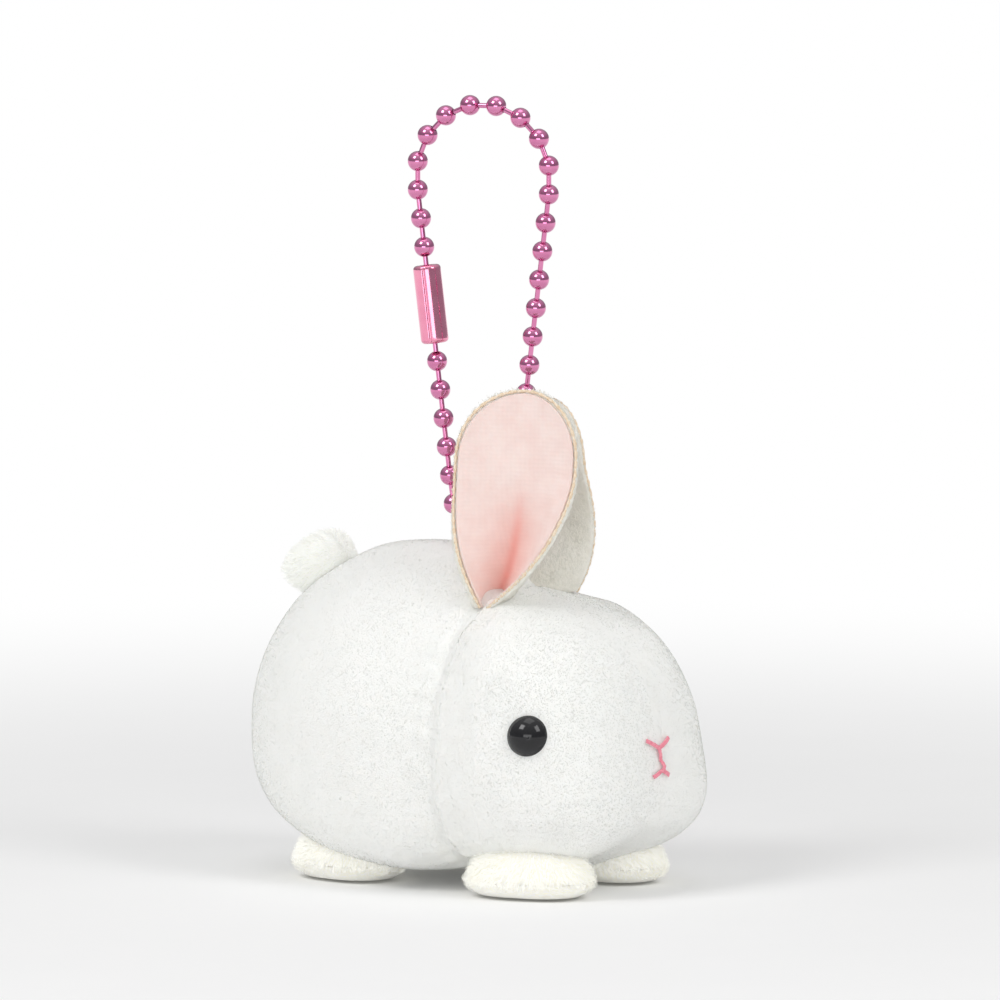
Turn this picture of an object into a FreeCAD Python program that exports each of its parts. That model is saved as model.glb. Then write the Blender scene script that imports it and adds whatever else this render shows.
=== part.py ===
"""Plush rabbit on a ball chain: a small stuffed animal that sits on four feet,
with a loop of thread between its ears that holds a closed loop of ball chain.

Frame: millimetres, +Z up, the nose points to -Y, the rabbit's right side is -X,
and the origin is on the floor below the middle of the plush.
"""
import FreeCAD, Part
import math
import os

import Sketcher
from FreeCAD import Placement, Rotation, Vector

SIZES = {
    # the two halves of the stuffed body, each half an ellipsoid, sewn at one upright seam
    "torso_centre_y": 2.65, "torso_centre_z": 20.0,
    "torso_half_width": 19.3, "torso_half_length": 25.6, "torso_half_height": 19.8,
    "head_centre_z": 19.0,
    "head_half_width": 18.2, "head_half_length": 20.6, "head_half_height": 17.3,
    "seam_y": -7.65, "cover_thickness": 0.8,
    # safety eyes with a smooth stem and a washer behind the cloth
    "eye_radius": 2.5, "eye_dome": 1.7, "eye_y": -20.1, "eye_z": 19.6,
    "stem_radius": 0.75, "stem_length": 4.2,
    "washer_radius": 2.4, "washer_thickness": 0.6, "washer_setback": 0.6,
    "stem_clearance": 0.05, "stem_end_gap": 0.2,
    # the stitched nose and mouth
    "nose_top_z": 18.5, "nose_join_z": 17.5, "nose_foot_z": 14.9, "nose_bottom_z": 14.2,
    "nose_half_width": 2.05, "mouth_half_width": 1.45, "thread_half_width": 0.27,
    "stitch_thickness": 0.35,
    # ears: a back and a lining sewn together
    "ear_base_x": 5.2, "ear_base_y": -11.25, "ear_base_z": 38.0,
    "ear_turn": 65.0, "ear_lean": 2.0, "ear_height": 19.1,
    "right_ear_sweep": -3.0, "left_ear_sweep": 10.0,
    "ear_half_width": 7.5, "ear_base_half_width": 4.6,
    "ear_back_thickness": 0.9, "ear_lining_thickness": 0.7, "ear_lining_inset": 0.6,
    # tail puff, sewn to the back at one point
    "tail_y": 19.45, "tail_radius": 5.4, "tail_top": 5.6, "tail_gap": 0.3,
    # feet, front and rear alike
    "foot_half_width": 5.6, "foot_half_length": 7.6, "foot_half_height": 4.4,
    "foot_seam_z": 2.0, "foot_x": 9.7, "front_foot_y": -16.65, "rear_foot_y": 10.35,
    # thread loop on the middle of the back of the neck
    "loop_y": -2.05, "loop_root_z": 39.85, "loop_half_width": 1.1,
    "loop_thread_radius": 0.33, "loop_slack": 0.08, "loop_end_gap": 0.06,
    "knot_radius": 1.5, "knot_depth": 3.6, "knot_gap": 0.1, "thread_clearance": 0.05,
    # ball chain: 17 bead places up each side of a drop-shaped loop
    "chain_turn": -76.0, "arch_radius": 8.6, "arch_centre_z": 83.2,
    "bend_radius": 4.0, "bend_centre_z": 45.55,
    "bead_radius": 1.2, "bead_wall": 0.22, "hole_radius": 0.38,
    "pin_radius": 0.3, "pin_head_radius": 0.42, "pin_head_offset": 0.46,
    # sleeve that closes the chain over its two end beads
    "sleeve_radius": 1.62, "sleeve_wall": 0.3, "sleeve_overhang": 1.25,
    "sleeve_slot": 0.5, "sleeve_mouth_radius": 0.75,
}
BEADS_PER_SIDE = 17
CONNECTOR_PLACES = (8, 10)      # bead places of the two end beads inside the sleeve
OVERRUN = 3                     # how far a cutting tool runs on past what it cuts
FOOT_ROOM = 12                  # half the width of the blocks that divide a foot
FAR = 60                        # half the width of the blocks that divide the body

doc = FreeCAD.newDocument("plush_keychain")
sheet = doc.addObject("Spreadsheet::Sheet", "sizes")
for row, (alias, value) in enumerate(SIZES.items(), start=1):
    sheet.set(f"A{row}", alias)
    sheet.set(f"B{row}", str(value))
    sheet.setAlias(f"B{row}", alias)
doc.recompute()

nodes = {}


def size(alias):
    return float(getattr(sheet, alias))


def node(name, solid):
    """Register an object as the sub-part called name."""
    solid.Label = name
    nodes[name] = solid
    return solid


def bind(solid, **expressions):
    for name, expression in expressions.items():
        solid.setExpression(name.replace("__", "."), expression)
    return solid


def boolean(kind, name, base, tool):
    result = doc.addObject(f"Part::{kind}", name)
    result.Base = base
    result.Tool = tool
    return result


def fuse(name, shapes):
    result = doc.addObject("Part::MultiFuse", name)
    result.Shapes = shapes
    return result


def ellipsoid(name, half_sizes, centre, grow="0", lying=False):
    """Ellipsoid with half sizes and centre given as sheet expressions in X, Y, Z order.

    Its poles are at its top and bottom, or at its two ends in Y when it is lying.
    """
    solid = doc.addObject("Part::Ellipsoid", name)
    width, length, height = half_sizes
    x, y, z = centre
    polar, sideways = (length, height) if lying else (height, length)
    if lying:
        solid.Placement = Placement(Vector(), Rotation(Vector(1, 0, 0), 90))
    return bind(solid, Radius1=f"{polar} + {grow}", Radius2=f"{width} + {grow}",
                Radius3=f"{sideways} + {grow}",
                Placement__Base__x=x, Placement__Base__y=y, Placement__Base__z=z)


def block(name, corner, far_corner):
    """Box between two corners given as sheet expressions."""
    box = doc.addObject("Part::Box", name)
    sides = [f"({high}) - ({low})" for low, high in zip(corner, far_corner)]
    x, y, z = corner
    return bind(box, Length=sides[0], Width=sides[1], Height=sides[2],
                Placement__Base__x=x, Placement__Base__y=y, Placement__Base__z=z)


def sketch_on(body, name, role):
    """Sketch on one of the body's own origin planes."""
    plane = next(f for f in body.Origin.OriginFeatures if f.Role == role)
    sketch = body.newObject("Sketcher::SketchObject", name)
    sketch.AttachmentSupport = [(plane, "")]
    sketch.MapMode = "FlatFace"
    return sketch


def circle(sketch, radius_cell):
    """Circle about the sketch's origin, its radius bound to the sheet."""
    radius_value = size(radius_cell)
    index = sketch.addGeometry(Part.Circle(Vector(0, 0, 0), Vector(0, 0, 1), radius_value))
    sketch.addConstraint(Sketcher.Constraint("Coincident", index, 3, -1, 1))
    number = sketch.addConstraint(Sketcher.Constraint("Radius", index, radius_value))
    sketch.setExpression(f"Constraints[{number}]", f"sizes.{radius_cell}")


def surface_point(part_name, x, y, z=None):
    """Point of the head or torso ellipsoid: solves for z, or for x when z is given."""
    centre_y = size("seam_y") if part_name == "head" else size("torso_centre_y")
    centre = Vector(0, centre_y, size(f"{part_name}_centre_z"))
    half = Vector(size(f"{part_name}_half_width"), size(f"{part_name}_half_length"),
                  size(f"{part_name}_half_height"))
    along = ((y - centre.y) / half.y) ** 2
    if z is None:
        rise = half.z * math.sqrt(1 - along - (x / half.x) ** 2)
        point = Vector(x, y, centre.z + rise)
    else:
        reach = half.x * math.sqrt(1 - along - ((z - centre.z) / half.z) ** 2)
        point = Vector(math.copysign(reach, x), y, z)
    offset = point - centre
    normal = Vector(offset.x / half.x ** 2, offset.y / half.y ** 2, offset.z / half.z ** 2)
    return point, normal.normalize()


HEAD = (("sizes.head_half_width", "sizes.head_half_length", "sizes.head_half_height"),
        ("0", "sizes.seam_y", "sizes.head_centre_z"))
TORSO = (("sizes.torso_half_width", "sizes.torso_half_length", "sizes.torso_half_height"),
         ("0", "sizes.torso_centre_y", "sizes.torso_centre_z"))


def make_eyes():
    """Domed eyes with their stems and washers; returns the pockets that they need."""
    pockets = []
    for side, name in ((-1, "right"), (1, "left")):
        point, normal = surface_point("head", side, size("eye_y"), size("eye_z"))
        place = Placement(point, Rotation(Vector(0, 0, 1), normal))
        ball_radius = "((sizes.eye_radius ^ 2 + sizes.eye_dome ^ 2) / (2 * sizes.eye_dome))"
        ball = bind(doc.addObject("Part::Sphere", f"eye_ball_{name}"), Radius=ball_radius)
        ball.setExpression("Placement.Base.z", f"sizes.eye_dome - {ball_radius}")
        above = bind(doc.addObject("Part::Cylinder", f"eye_above_{name}"),
                     Radius="sizes.eye_radius * 2", Height="sizes.eye_dome * 2")
        dome = boolean("Common", f"eye_dome_{name}", ball, above)
        stem = bind(doc.addObject("Part::Cylinder", f"eye_stem_{name}"),
                    Radius="sizes.stem_radius", Height="sizes.stem_length")
        stem.setExpression("Placement.Base.z", "-sizes.stem_length")
        eye = node(f"eye_{name}", fuse(f"eye_{name}", [dome, stem]))
        eye.Placement = place

        washer = doc.addObject("PartDesign::Body", f"eye_washer_{name}")
        ring = sketch_on(washer, f"washer_outline_{name}", "XY_Plane")
        circle(ring, "washer_radius")
        hole = ring.addGeometry(Part.Circle(Vector(0, 0, 0), Vector(0, 0, 1), 1))
        ring.addConstraint(Sketcher.Constraint("Coincident", hole, 3, -1, 1))
        number = ring.addConstraint(Sketcher.Constraint("Radius", hole, 1))
        ring.setExpression(f"Constraints[{number}]", "sizes.stem_radius + sizes.stem_clearance")
        pad = washer.newObject("PartDesign::Pad", f"washer_pad_{name}")
        pad.Profile = ring
        pad.setExpression("Length", "sizes.washer_thickness")
        inward = size("cover_thickness") + size("washer_thickness") + size("washer_setback")
        washer.Placement = Placement(point - normal * inward, place.Rotation)
        node(f"eye_washer_{name}", washer)

        slot = bind(doc.addObject("Part::Cylinder", f"eye_pocket_{name}"),
                    Radius="sizes.washer_radius + sizes.stem_clearance",
                    Height="sizes.stem_length - sizes.cover_thickness / 2")
        pocket_end = point - normal * (size("stem_length") + size("stem_end_gap"))
        slot.Placement = Placement(pocket_end, place.Rotation)
        bore = bind(doc.addObject("Part::Cylinder", f"eye_bore_{name}"),
                    Radius="sizes.stem_radius + sizes.stem_clearance",
                    Height=f"sizes.stem_length + {OVERRUN}")
        bore.Placement = slot.Placement
        pockets.append((slot, bore))
    return pockets


def make_nose():
    """Stitched Y-shaped nose and small mouth, laid on the curve of the face."""
    top, join = size("nose_top_z"), size("nose_join_z")
    foot, bottom = size("nose_foot_z"), size("nose_bottom_z")
    wide, mouth = size("nose_half_width"), size("mouth_half_width")
    strokes = [((-wide, top), (0, join)), ((wide, top), (0, join)), ((0, join), (0, foot)),
               ((0, foot), (-mouth, bottom)), ((0, foot), (mouth, bottom))]
    depth = size("head_half_length")
    bars = []
    for (x1, z1), (x2, z2) in strokes:
        length = math.hypot(x2 - x1, z2 - z1)
        half = size("thread_half_width")
        bar = Part.makeBox(length, 2 * half, depth, Vector(0, -half, 0))
        ends = [Part.makeCylinder(half, depth, Vector(at, 0, 0)) for at in (0, length)]
        bar = bar.multiFuse(ends)
        upright = Rotation(Vector(1, 0, 0), Vector(0, 0, 1), Vector(0, -1, 0), "XZY")
        tilt = Rotation(Vector(0, -1, 0), math.degrees(math.atan2(z2 - z1, x2 - x1)))
        bar.Placement = Placement(Vector(x1, size("seam_y"), z1), tilt * upright)
        bars.append(bar)
    outline = doc.addObject("Part::Feature", "nose_strokes")
    outline.Shape = bars[0].multiFuse(bars[1:]).removeSplitter()
    skin = ellipsoid("nose_skin", *HEAD, grow="sizes.stitch_thickness", lying=True)
    face = ellipsoid("nose_face", *HEAD, lying=True)
    layer = boolean("Cut", "nose_layer", skin, face)
    node("nose_embroidery", boolean("Common", "nose_embroidery", outline, layer))


def ear_outline(body, name, inset):
    """Petal outline: straight base, curved sides and a round top, inset all round."""
    sketch = sketch_on(body, name, "XY_Plane")
    top_radius = size("ear_half_width") - inset
    top_centre = size("ear_height") - size("ear_half_width")
    base = size("ear_base_half_width") - inset
    low = inset
    rise = top_centre - low
    side_radius = ((top_radius - base) ** 2 + rise ** 2) / (2 * (top_radius - base))
    spread = math.asin(rise / side_radius)
    up = Vector(0, 0, 1)
    bottom = sketch.addGeometry(Part.LineSegment(Vector(-base, low, 0), Vector(base, low, 0)))
    right_circle = Part.Circle(Vector(top_radius - side_radius, top_centre, 0), up, side_radius)
    right = sketch.addGeometry(Part.ArcOfCircle(right_circle, -spread, 0))
    top_circle = Part.Circle(Vector(0, top_centre, 0), up, top_radius)
    top = sketch.addGeometry(Part.ArcOfCircle(top_circle, 0, math.pi))
    left_circle = Part.Circle(Vector(side_radius - top_radius, top_centre, 0), up, side_radius)
    left = sketch.addGeometry(Part.ArcOfCircle(left_circle, math.pi, math.pi + spread))
    sketch.addConstraint([
        Sketcher.Constraint("Symmetric", bottom, 1, bottom, 2, -2),
        Sketcher.Constraint("Coincident", bottom, 2, right, 1),
        Sketcher.Constraint("Tangent", right, 2, top, 1),
        Sketcher.Constraint("Tangent", top, 2, left, 1),
        Sketcher.Constraint("Coincident", left, 2, bottom, 1),
        Sketcher.Constraint("PointOnObject", top, 3, -2),
        Sketcher.Constraint("Horizontal", top, 1, top, 3),
        Sketcher.Constraint("Horizontal", top, 2, top, 3),
    ])
    bound = [
        (Sketcher.Constraint("Radius", top, top_radius), f"sizes.ear_half_width - {inset}"),
        (Sketcher.Constraint("DistanceY", -1, 1, top, 3, top_centre),
         "sizes.ear_height - sizes.ear_half_width"),
        (Sketcher.Constraint("DistanceX", bottom, 1, bottom, 2, 2 * base),
         f"2 * (sizes.ear_base_half_width - {inset})"),
    ]
    for constraint, expression in bound:
        number = sketch.addConstraint(constraint)
        sketch.setExpression(f"Constraints[{number}]", expression)
    if inset:
        number = sketch.addConstraint(Sketcher.Constraint("DistanceY", -1, 1, bottom, 1, low))
        sketch.setExpression(f"Constraints[{number}]", f"{inset}")
    else:
        sketch.addConstraint(Sketcher.Constraint("PointOnObject", bottom, 1, -1))
    return sketch


def make_ears():
    """Two upright ears whose linings face outward; each sweeps back by its own angle."""
    for side, name in ((-1, "right"), (1, "left")):
        upright = Rotation(Vector(1, 0, 0), 90)
        lean = Rotation(Vector(1, 0, 0), -size("ear_lean"))
        sweep = Rotation(Vector(0, 0, 1), -side * size(f"{name}_ear_sweep"))
        turn = Rotation(Vector(0, 0, 1), side * size("ear_turn"))
        base = Vector(side * size("ear_base_x"), size("ear_base_y"), size("ear_base_z"))
        place = Placement(base, turn * lean * upright * sweep)
        layers = (("ear_back", "ear_back_thickness", 0, True),
                  ("ear_lining", "ear_lining_thickness", size("ear_lining_inset"), False))
        for layer, thickness, inset, backward in layers:
            body = doc.addObject("PartDesign::Body", f"{layer}_{name}")
            sketch = ear_outline(body, f"{layer}_outline_{name}", inset)
            pad = body.newObject("PartDesign::Pad", f"{layer}_pad_{name}")
            pad.Profile = sketch
            pad.setExpression("Length", f"sizes.{thickness}")
            pad.Reversed = backward
            body.Placement = place
            node(f"{layer}_{name}", body)


def make_tail():
    """Round puff with an undercut below, so that it can rock on its stitches."""
    point, normal = surface_point("torso", 0, size("tail_y"))
    place = Placement(point, Rotation(Vector(0, 0, 1), normal))
    centre = "(sizes.tail_gap + sizes.tail_top) / 2"
    half_height = "(sizes.tail_top - sizes.tail_gap) / 2"
    solids = {}
    for part_name, grow in (("outside", "0"), ("inside", "-sizes.cover_thickness")):
        puff = doc.addObject("Part::Ellipsoid", f"tail_{part_name}")
        bind(puff, Radius1=f"{half_height} + {grow}", Radius2=f"sizes.tail_radius + {grow}",
             Radius3=f"sizes.tail_radius + {grow}", Placement__Base__z=centre)
        solids[part_name] = puff
    cover = node("tail_cover", boolean("Cut", "tail_cover", solids["outside"], solids["inside"]))
    cover.Placement = place
    core = doc.addObject("Part::Ellipsoid", "tail_stuffing")
    bind(core, Radius1=f"{half_height} - sizes.cover_thickness",
         Radius2="sizes.tail_radius - sizes.cover_thickness",
         Radius3="sizes.tail_radius - sizes.cover_thickness")
    lift = (size("tail_gap") + size("tail_top")) / 2
    core.Placement = Placement(point + normal * lift, place.Rotation)
    node("tail_stuffing", core)


def make_feet(torso, head):
    """Four stuffed feet, each an upper and a sole that meet at a low seam."""
    inner_solids = []
    half = ("sizes.foot_half_width", "sizes.foot_half_length", "sizes.foot_half_height")
    for end, y_cell in (("front", "front_foot_y"), ("rear", "rear_foot_y")):
        for side, name in ((-1, "right"), (1, "left")):
            foot = f"{end}_foot_{name}"
            x = f"{side} * sizes.foot_x"
            y = f"sizes.{y_cell}"
            centre = (x, y, "sizes.foot_seam_z")
            outside = ellipsoid(f"{foot}_outside", half, centre)
            inside = ellipsoid(f"{foot}_inside", half, centre, "-sizes.cover_thickness")
            spaces = {}
            heights = (("sole", "0", "sizes.foot_seam_z"),
                       ("upper", "sizes.foot_seam_z", f"sizes.foot_seam_z + {FOOT_ROOM}"),
                       ("filled", "sizes.cover_thickness", f"sizes.foot_seam_z + {FOOT_ROOM}"))
            for layer, low, high in heights:
                corner = (f"{x} - {FOOT_ROOM}", f"{y} - {FOOT_ROOM}", low)
                far_corner = (f"{x} + {FOOT_ROOM}", f"{y} + {FOOT_ROOM}", high)
                spaces[layer] = block(f"{foot}_{layer}_space", corner, far_corner)
            filled = boolean("Common", f"{foot}_filled", inside, spaces["filled"])
            shell = boolean("Cut", f"{foot}_shell", outside, filled)
            against = head if end == "front" else torso
            for layer in ("sole", "upper"):
                whole = boolean("Common", f"{foot}_{layer}_whole", shell, spaces[layer])
                node(f"{foot}_{layer}", boolean("Cut", f"{foot}_{layer}", whole, against))
            inner_solids.append(boolean("Cut", f"{foot}_filling", filled, against))
    node("feet_stuffing", fuse("feet_stuffing", inner_solids))


def loop_path(sketch):
    """Upright U: two legs and a half circle, its legs ending at the sketch's X axis."""
    half = size("loop_half_width")
    crown = bottom_pin_height() + size("pin_radius") + size("loop_thread_radius")
    leg = crown + size("loop_slack") - size("loop_root_z") - half
    left = sketch.addGeometry(Part.LineSegment(Vector(-half, 0, 0), Vector(-half, leg, 0)))
    arc_circle = Part.Circle(Vector(0, leg, 0), Vector(0, 0, 1), half)
    top = sketch.addGeometry(Part.ArcOfCircle(arc_circle, 0, math.pi))
    right = sketch.addGeometry(Part.LineSegment(Vector(half, leg, 0), Vector(half, 0, 0)))
    sketch.addConstraint([
        Sketcher.Constraint("Vertical", left), Sketcher.Constraint("Vertical", right),
        Sketcher.Constraint("Tangent", left, 2, top, 2),
        Sketcher.Constraint("Tangent", right, 1, top, 1),
        Sketcher.Constraint("PointOnObject", left, 1, -1),
        Sketcher.Constraint("PointOnObject", right, 2, -1),
        Sketcher.Constraint("PointOnObject", top, 3, -2),
    ])
    number = sketch.addConstraint(Sketcher.Constraint("Radius", top, half))
    sketch.setExpression(f"Constraints[{number}]", "sizes.loop_half_width")
    sketch.addConstraint(Sketcher.Constraint("DistanceY", left, 1, left, 2, leg))


def make_loop():
    """Thread loop across the chain, and its knot inside; returns the room that they need."""
    body = doc.addObject("PartDesign::Body", "loop_thread")
    path = sketch_on(body, "loop_path", "XZ_Plane")
    loop_path(path)
    section = sketch_on(body, "loop_section", "XY_Plane")
    radius = size("loop_thread_radius")
    start = Vector(-size("loop_half_width"), 0, 0)
    index = section.addGeometry(Part.Circle(start, Vector(0, 0, 1), radius))
    section.addConstraint(Sketcher.Constraint("PointOnObject", index, 3, -1))
    number = section.addConstraint(
        Sketcher.Constraint("DistanceX", index, 3, -1, 1, size("loop_half_width")))
    section.setExpression(f"Constraints[{number}]", "sizes.loop_half_width")
    number = section.addConstraint(Sketcher.Constraint("Radius", index, radius))
    section.setExpression(f"Constraints[{number}]", "sizes.loop_thread_radius")
    pipe = body.newObject("PartDesign::AdditivePipe", "loop_pipe")
    pipe.Profile = section
    pipe.Spine = path
    across = Rotation(Vector(0, 0, 1), size("chain_turn") + 90)
    root = Vector(0, size("loop_y"), size("loop_root_z"))
    body.Placement = Placement(root, across)
    node("hang_loop", body)

    knot_centre = root - Vector(0, 0, size("knot_depth"))
    knot = Part.makeSphere(size("knot_radius"), knot_centre)
    legs = []
    bores = []
    leg_length = size("knot_depth") - radius - size("loop_end_gap")
    bore_length = leg_length + OVERRUN
    for side in (-1, 1):
        offset = across.multVec(Vector(side * size("loop_half_width"), 0, 0))
        legs.append(Part.makeCylinder(radius, leg_length, knot_centre + offset))
        bores.append(Part.makeCylinder(radius + size("thread_clearance"), bore_length,
                                       knot_centre + offset))
    tied = doc.addObject("Part::Feature", "loop_knot")
    tied.Shape = knot.multiFuse(legs)
    node("loop_knot", tied)
    thread_bores = doc.addObject("Part::Feature", "thread_bores")
    thread_bores.Shape = Part.makeCompound(bores)
    room = size("knot_radius") + size("knot_gap")
    knot_pocket = doc.addObject("Part::Cylinder", "knot_pocket")
    bind(knot_pocket, Radius="sizes.knot_radius + sizes.knot_gap",
         Height=f"sizes.knot_depth + sizes.knot_radius + {OVERRUN}")
    knot_pocket.Placement = Placement(knot_centre - Vector(0, 0, room), Rotation())
    return thread_bores, knot_pocket


def make_plush():
    """Head and torso covers that meet at the seam, their stuffing, and what they carry."""
    rear = block("rear_space", (f"-{FAR}", "sizes.seam_y", f"-{FAR}"), (FAR, FAR, FAR))
    front = block("front_space", (f"-{FAR}", f"-{FAR}", f"-{FAR}"), (FAR, "sizes.seam_y", FAR))
    thinner = "-sizes.cover_thickness"
    halves = {}
    for name, shape, space in (("torso", TORSO, rear), ("head", HEAD, front)):
        outside = ellipsoid(f"{name}_outside", *shape, lying=True)
        inside = ellipsoid(f"{name}_inside", *shape, grow=thinner, lying=True)
        shell = boolean("Cut", f"{name}_shell", outside, inside)
        halves[f"{name}_shell"] = boolean("Common", f"{name}_half_shell", shell, space)
        halves[f"{name}_solid"] = boolean("Common", f"{name}_solid", outside, space)
        halves[f"{name}_core"] = boolean("Common", f"{name}_core", inside, space)
    eye_pockets = make_eyes()
    thread_bores, knot_pocket = make_loop()
    bores = fuse("eye_bores", [bore for _, bore in eye_pockets])
    node("head_cover", boolean("Cut", "head_cover", halves["head_shell"], bores))
    node("torso_cover", boolean("Cut", "torso_cover", halves["torso_shell"], thread_bores))
    pockets = fuse("eye_pockets", [pocket for pocket, _ in eye_pockets])
    node("head_stuffing", boolean("Cut", "head_stuffing", halves["head_core"], pockets))
    node("torso_stuffing", boolean("Cut", "torso_stuffing", halves["torso_core"], knot_pocket))
    make_nose()
    make_ears()
    make_tail()
    make_feet(halves["torso_solid"], halves["head_solid"])


def loop_geometry():
    """Centre of the chain's lower bend, the slant of its sides, and the bead pitch."""
    top, bend = size("arch_radius"), size("bend_radius")
    low = size("bend_centre_z")
    drop = size("arch_centre_z") - low
    slant = math.asin((top - bend) / drop)
    straight = math.sqrt(drop ** 2 - (top - bend) ** 2)
    half_length = top * (math.pi / 2 + slant) + bend * (math.pi / 2 - slant) + straight
    return low, slant, straight, half_length / BEADS_PER_SIDE


def chain_point(place, side):
    """Centre of the bead at this place, counted up from the lowest pin, on one side."""
    low, slant, straight, pitch = loop_geometry()
    top, bend = size("arch_radius"), size("bend_radius")
    along = (place - 0.5) * pitch
    lower_bend = bend * (math.pi / 2 - slant)
    if along < lower_bend:
        angle = along / bend
        across, height = bend * math.sin(angle), low - bend * math.cos(angle)
    elif along < lower_bend + straight:
        up = along - lower_bend
        across = bend * math.cos(slant) + up * math.sin(slant)
        height = low - bend * math.sin(slant) + up * math.cos(slant)
    else:
        angle = (along - lower_bend - straight) / top - slant
        across = top * math.cos(angle)
        height = size("arch_centre_z") + top * math.sin(angle)
    turn = math.radians(size("chain_turn"))
    x = side * across * math.cos(turn)
    y = size("loop_y") + side * across * math.sin(turn)
    return Vector(x, y, height)


def bottom_pin_height():
    return chain_point(1, 1).z


def make_bead(centre, neighbours):
    """Hollow bead with a hole towards each neighbour."""
    bead = Part.makeSphere(size("bead_radius"), centre)
    hollow = Part.makeSphere(size("bead_radius") - size("bead_wall"), centre)
    reach = 2 * size("bead_radius")
    holes = []
    for neighbour in neighbours:
        holes.append(Part.makeCylinder(size("hole_radius"), reach, centre, neighbour - centre))
    return bead.cut([hollow] + holes)


def make_pin(start, end):
    """Pin with a round head inside each of the two beads that it joins."""
    way = (end - start).normalize()
    first = start + way * size("pin_head_offset")
    last = end - way * size("pin_head_offset")
    shank = Part.makeCylinder(size("pin_radius"), (last - first).Length, first, way)
    heads = [Part.makeSphere(size("pin_head_radius"), at) for at in (first, last)]
    return shank.multiFuse(heads)


def neighbours_of(place, side):
    """Bead centres below and above this one, following the loop round its two ends."""
    below = chain_point(place - 1, side) if place > 1 else chain_point(place, -side)
    above = chain_point(place + 1, side)
    if place == BEADS_PER_SIDE:
        above = chain_point(place, -side)
    return below, above


def group(name, solids):
    feature = doc.addObject("Part::Feature", name)
    feature.Shape = Part.makeCompound(solids)
    node(name, feature)


def make_chain():
    """Rows of beads up both sides; each row holds the pins that hang below its beads.

    The right-hand side of the chain (-1) carries the sleeve, whose row has the two
    end beads inside the sleeve and three beads on the other side.
    """
    first, last = CONNECTOR_PLACES
    rows = [[place] for place in range(1, first)] + [list(range(first, last + 1))]
    rows += [[place] for place in range(last + 1, BEADS_PER_SIDE + 1)]
    for number, places in enumerate(rows, start=1):
        beads = []
        pins = []
        for side in (-1, 1):
            for place in places:
                in_sleeve = side < 0 and first <= place <= last
                if in_sleeve and first < place < last:
                    continue
                centre = chain_point(place, side)
                below, above = neighbours_of(place, side)
                joined = [below, above]
                if in_sleeve:
                    joined = [below] if place == first else [above]
                beads.append(make_bead(centre, joined))
                if place > 1 and below in joined:
                    pins.append(make_pin(below, centre))
        if places[0] == 1:
            pins.append(make_pin(chain_point(1, -1), chain_point(1, 1)))
        if places[-1] == BEADS_PER_SIDE:
            pins.append(make_pin(chain_point(BEADS_PER_SIDE, -1), chain_point(BEADS_PER_SIDE, 1)))
        group(f"chain_beads_{number:02d}", beads)
        group(f"chain_pins_{number:02d}", pins)


def make_sleeve():
    """Rolled sleeve with a lengthwise slot and narrowed ends that hold the end beads."""
    first, last = CONNECTOR_PLACES
    low, high = chain_point(first, -1), chain_point(last, -1)
    way = (high - low).normalize()
    body = doc.addObject("PartDesign::Body", "connector_sleeve")
    outline = sketch_on(body, "sleeve_outline", "XY_Plane")
    circle(outline, "sleeve_radius")
    wall = body.newObject("PartDesign::Pad", "sleeve_pad")
    wall.Profile = outline
    length = (high - low).Length + 2 * size("sleeve_overhang")
    wall.Length = length
    doc.recompute()

    bore = sketch_on(body, "sleeve_bore_outline", "XY_Plane")
    bore.AttachmentOffset = Placement(Vector(0, 0, size("sleeve_wall")), Rotation())
    index = bore.addGeometry(Part.Circle(Vector(0, 0, 0), Vector(0, 0, 1), 1))
    bore.addConstraint(Sketcher.Constraint("Coincident", index, 3, -1, 1))
    number = bore.addConstraint(Sketcher.Constraint("Radius", index, 1))
    bore.setExpression(f"Constraints[{number}]", "sizes.sleeve_radius - sizes.sleeve_wall")
    pocket = body.newObject("PartDesign::Pocket", "sleeve_bore")
    pocket.Profile = bore
    pocket.Length = length - 2 * size("sleeve_wall")
    pocket.Reversed = True
    doc.recompute()

    mouth = sketch_on(body, "sleeve_mouth_outline", "XY_Plane")
    circle(mouth, "sleeve_mouth_radius")
    mouths = body.newObject("PartDesign::Pocket", "sleeve_mouths")
    mouths.Profile = mouth
    mouths.Length = length
    mouths.Reversed = True
    doc.recompute()

    seam = sketch_on(body, "sleeve_slot_outline", "XZ_Plane")
    half = size("sleeve_slot") / 2
    corners = [Vector(-half, 0, 0), Vector(half, 0, 0),
               Vector(half, length, 0), Vector(-half, length, 0)]
    for start, end in zip(corners, corners[1:] + corners[:1]):
        seam.addGeometry(Part.LineSegment(start, end))
    slot = body.newObject("PartDesign::Pocket", "sleeve_slot")
    slot.Profile = seam
    slot.Length = size("sleeve_radius") * 2
    slot.Reversed = False
    doc.recompute()
    start = low - way * size("sleeve_overhang")
    body.Placement = Placement(start, Rotation(Vector(0, 0, 1), way))
    node("connector_sleeve", body)


def check_and_write():
    """Stop on any failed feature or bad solid, then write one STEP file per sub-part."""
    doc.recompute()
    for feature in doc.Objects:
        if "Invalid" in feature.State or "Error" in feature.State:
            raise RuntimeError(f"{feature.Name} did not compute: {feature.State}")
    for name, solid in nodes.items():
        shape = solid.Shape
        if shape.isNull() or not shape.isValid() or not shape.Solids:
            raise RuntimeError(f"{name} has no valid solid")
    os.makedirs("parts", exist_ok=True)
    for name, solid in nodes.items():
        solid.Shape.exportStep(f"parts/{name}.step")
        box = solid.Shape.BoundBox
        print(f"{name:26s} solids {len(solid.Shape.Solids)} volume {solid.Shape.Volume:9.2f} "
              f"z {box.ZMin:6.2f} to {box.ZMax:6.2f}")


make_plush()
make_chain()
make_sleeve()
check_and_write()
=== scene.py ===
"""Looks of the plush rabbit keychain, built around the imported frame.

Shapes are worked out in millimetres and turned into metres when a mesh is made.
The rabbit faces -Y; its right side, which the camera sees, is -X.
"""

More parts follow.
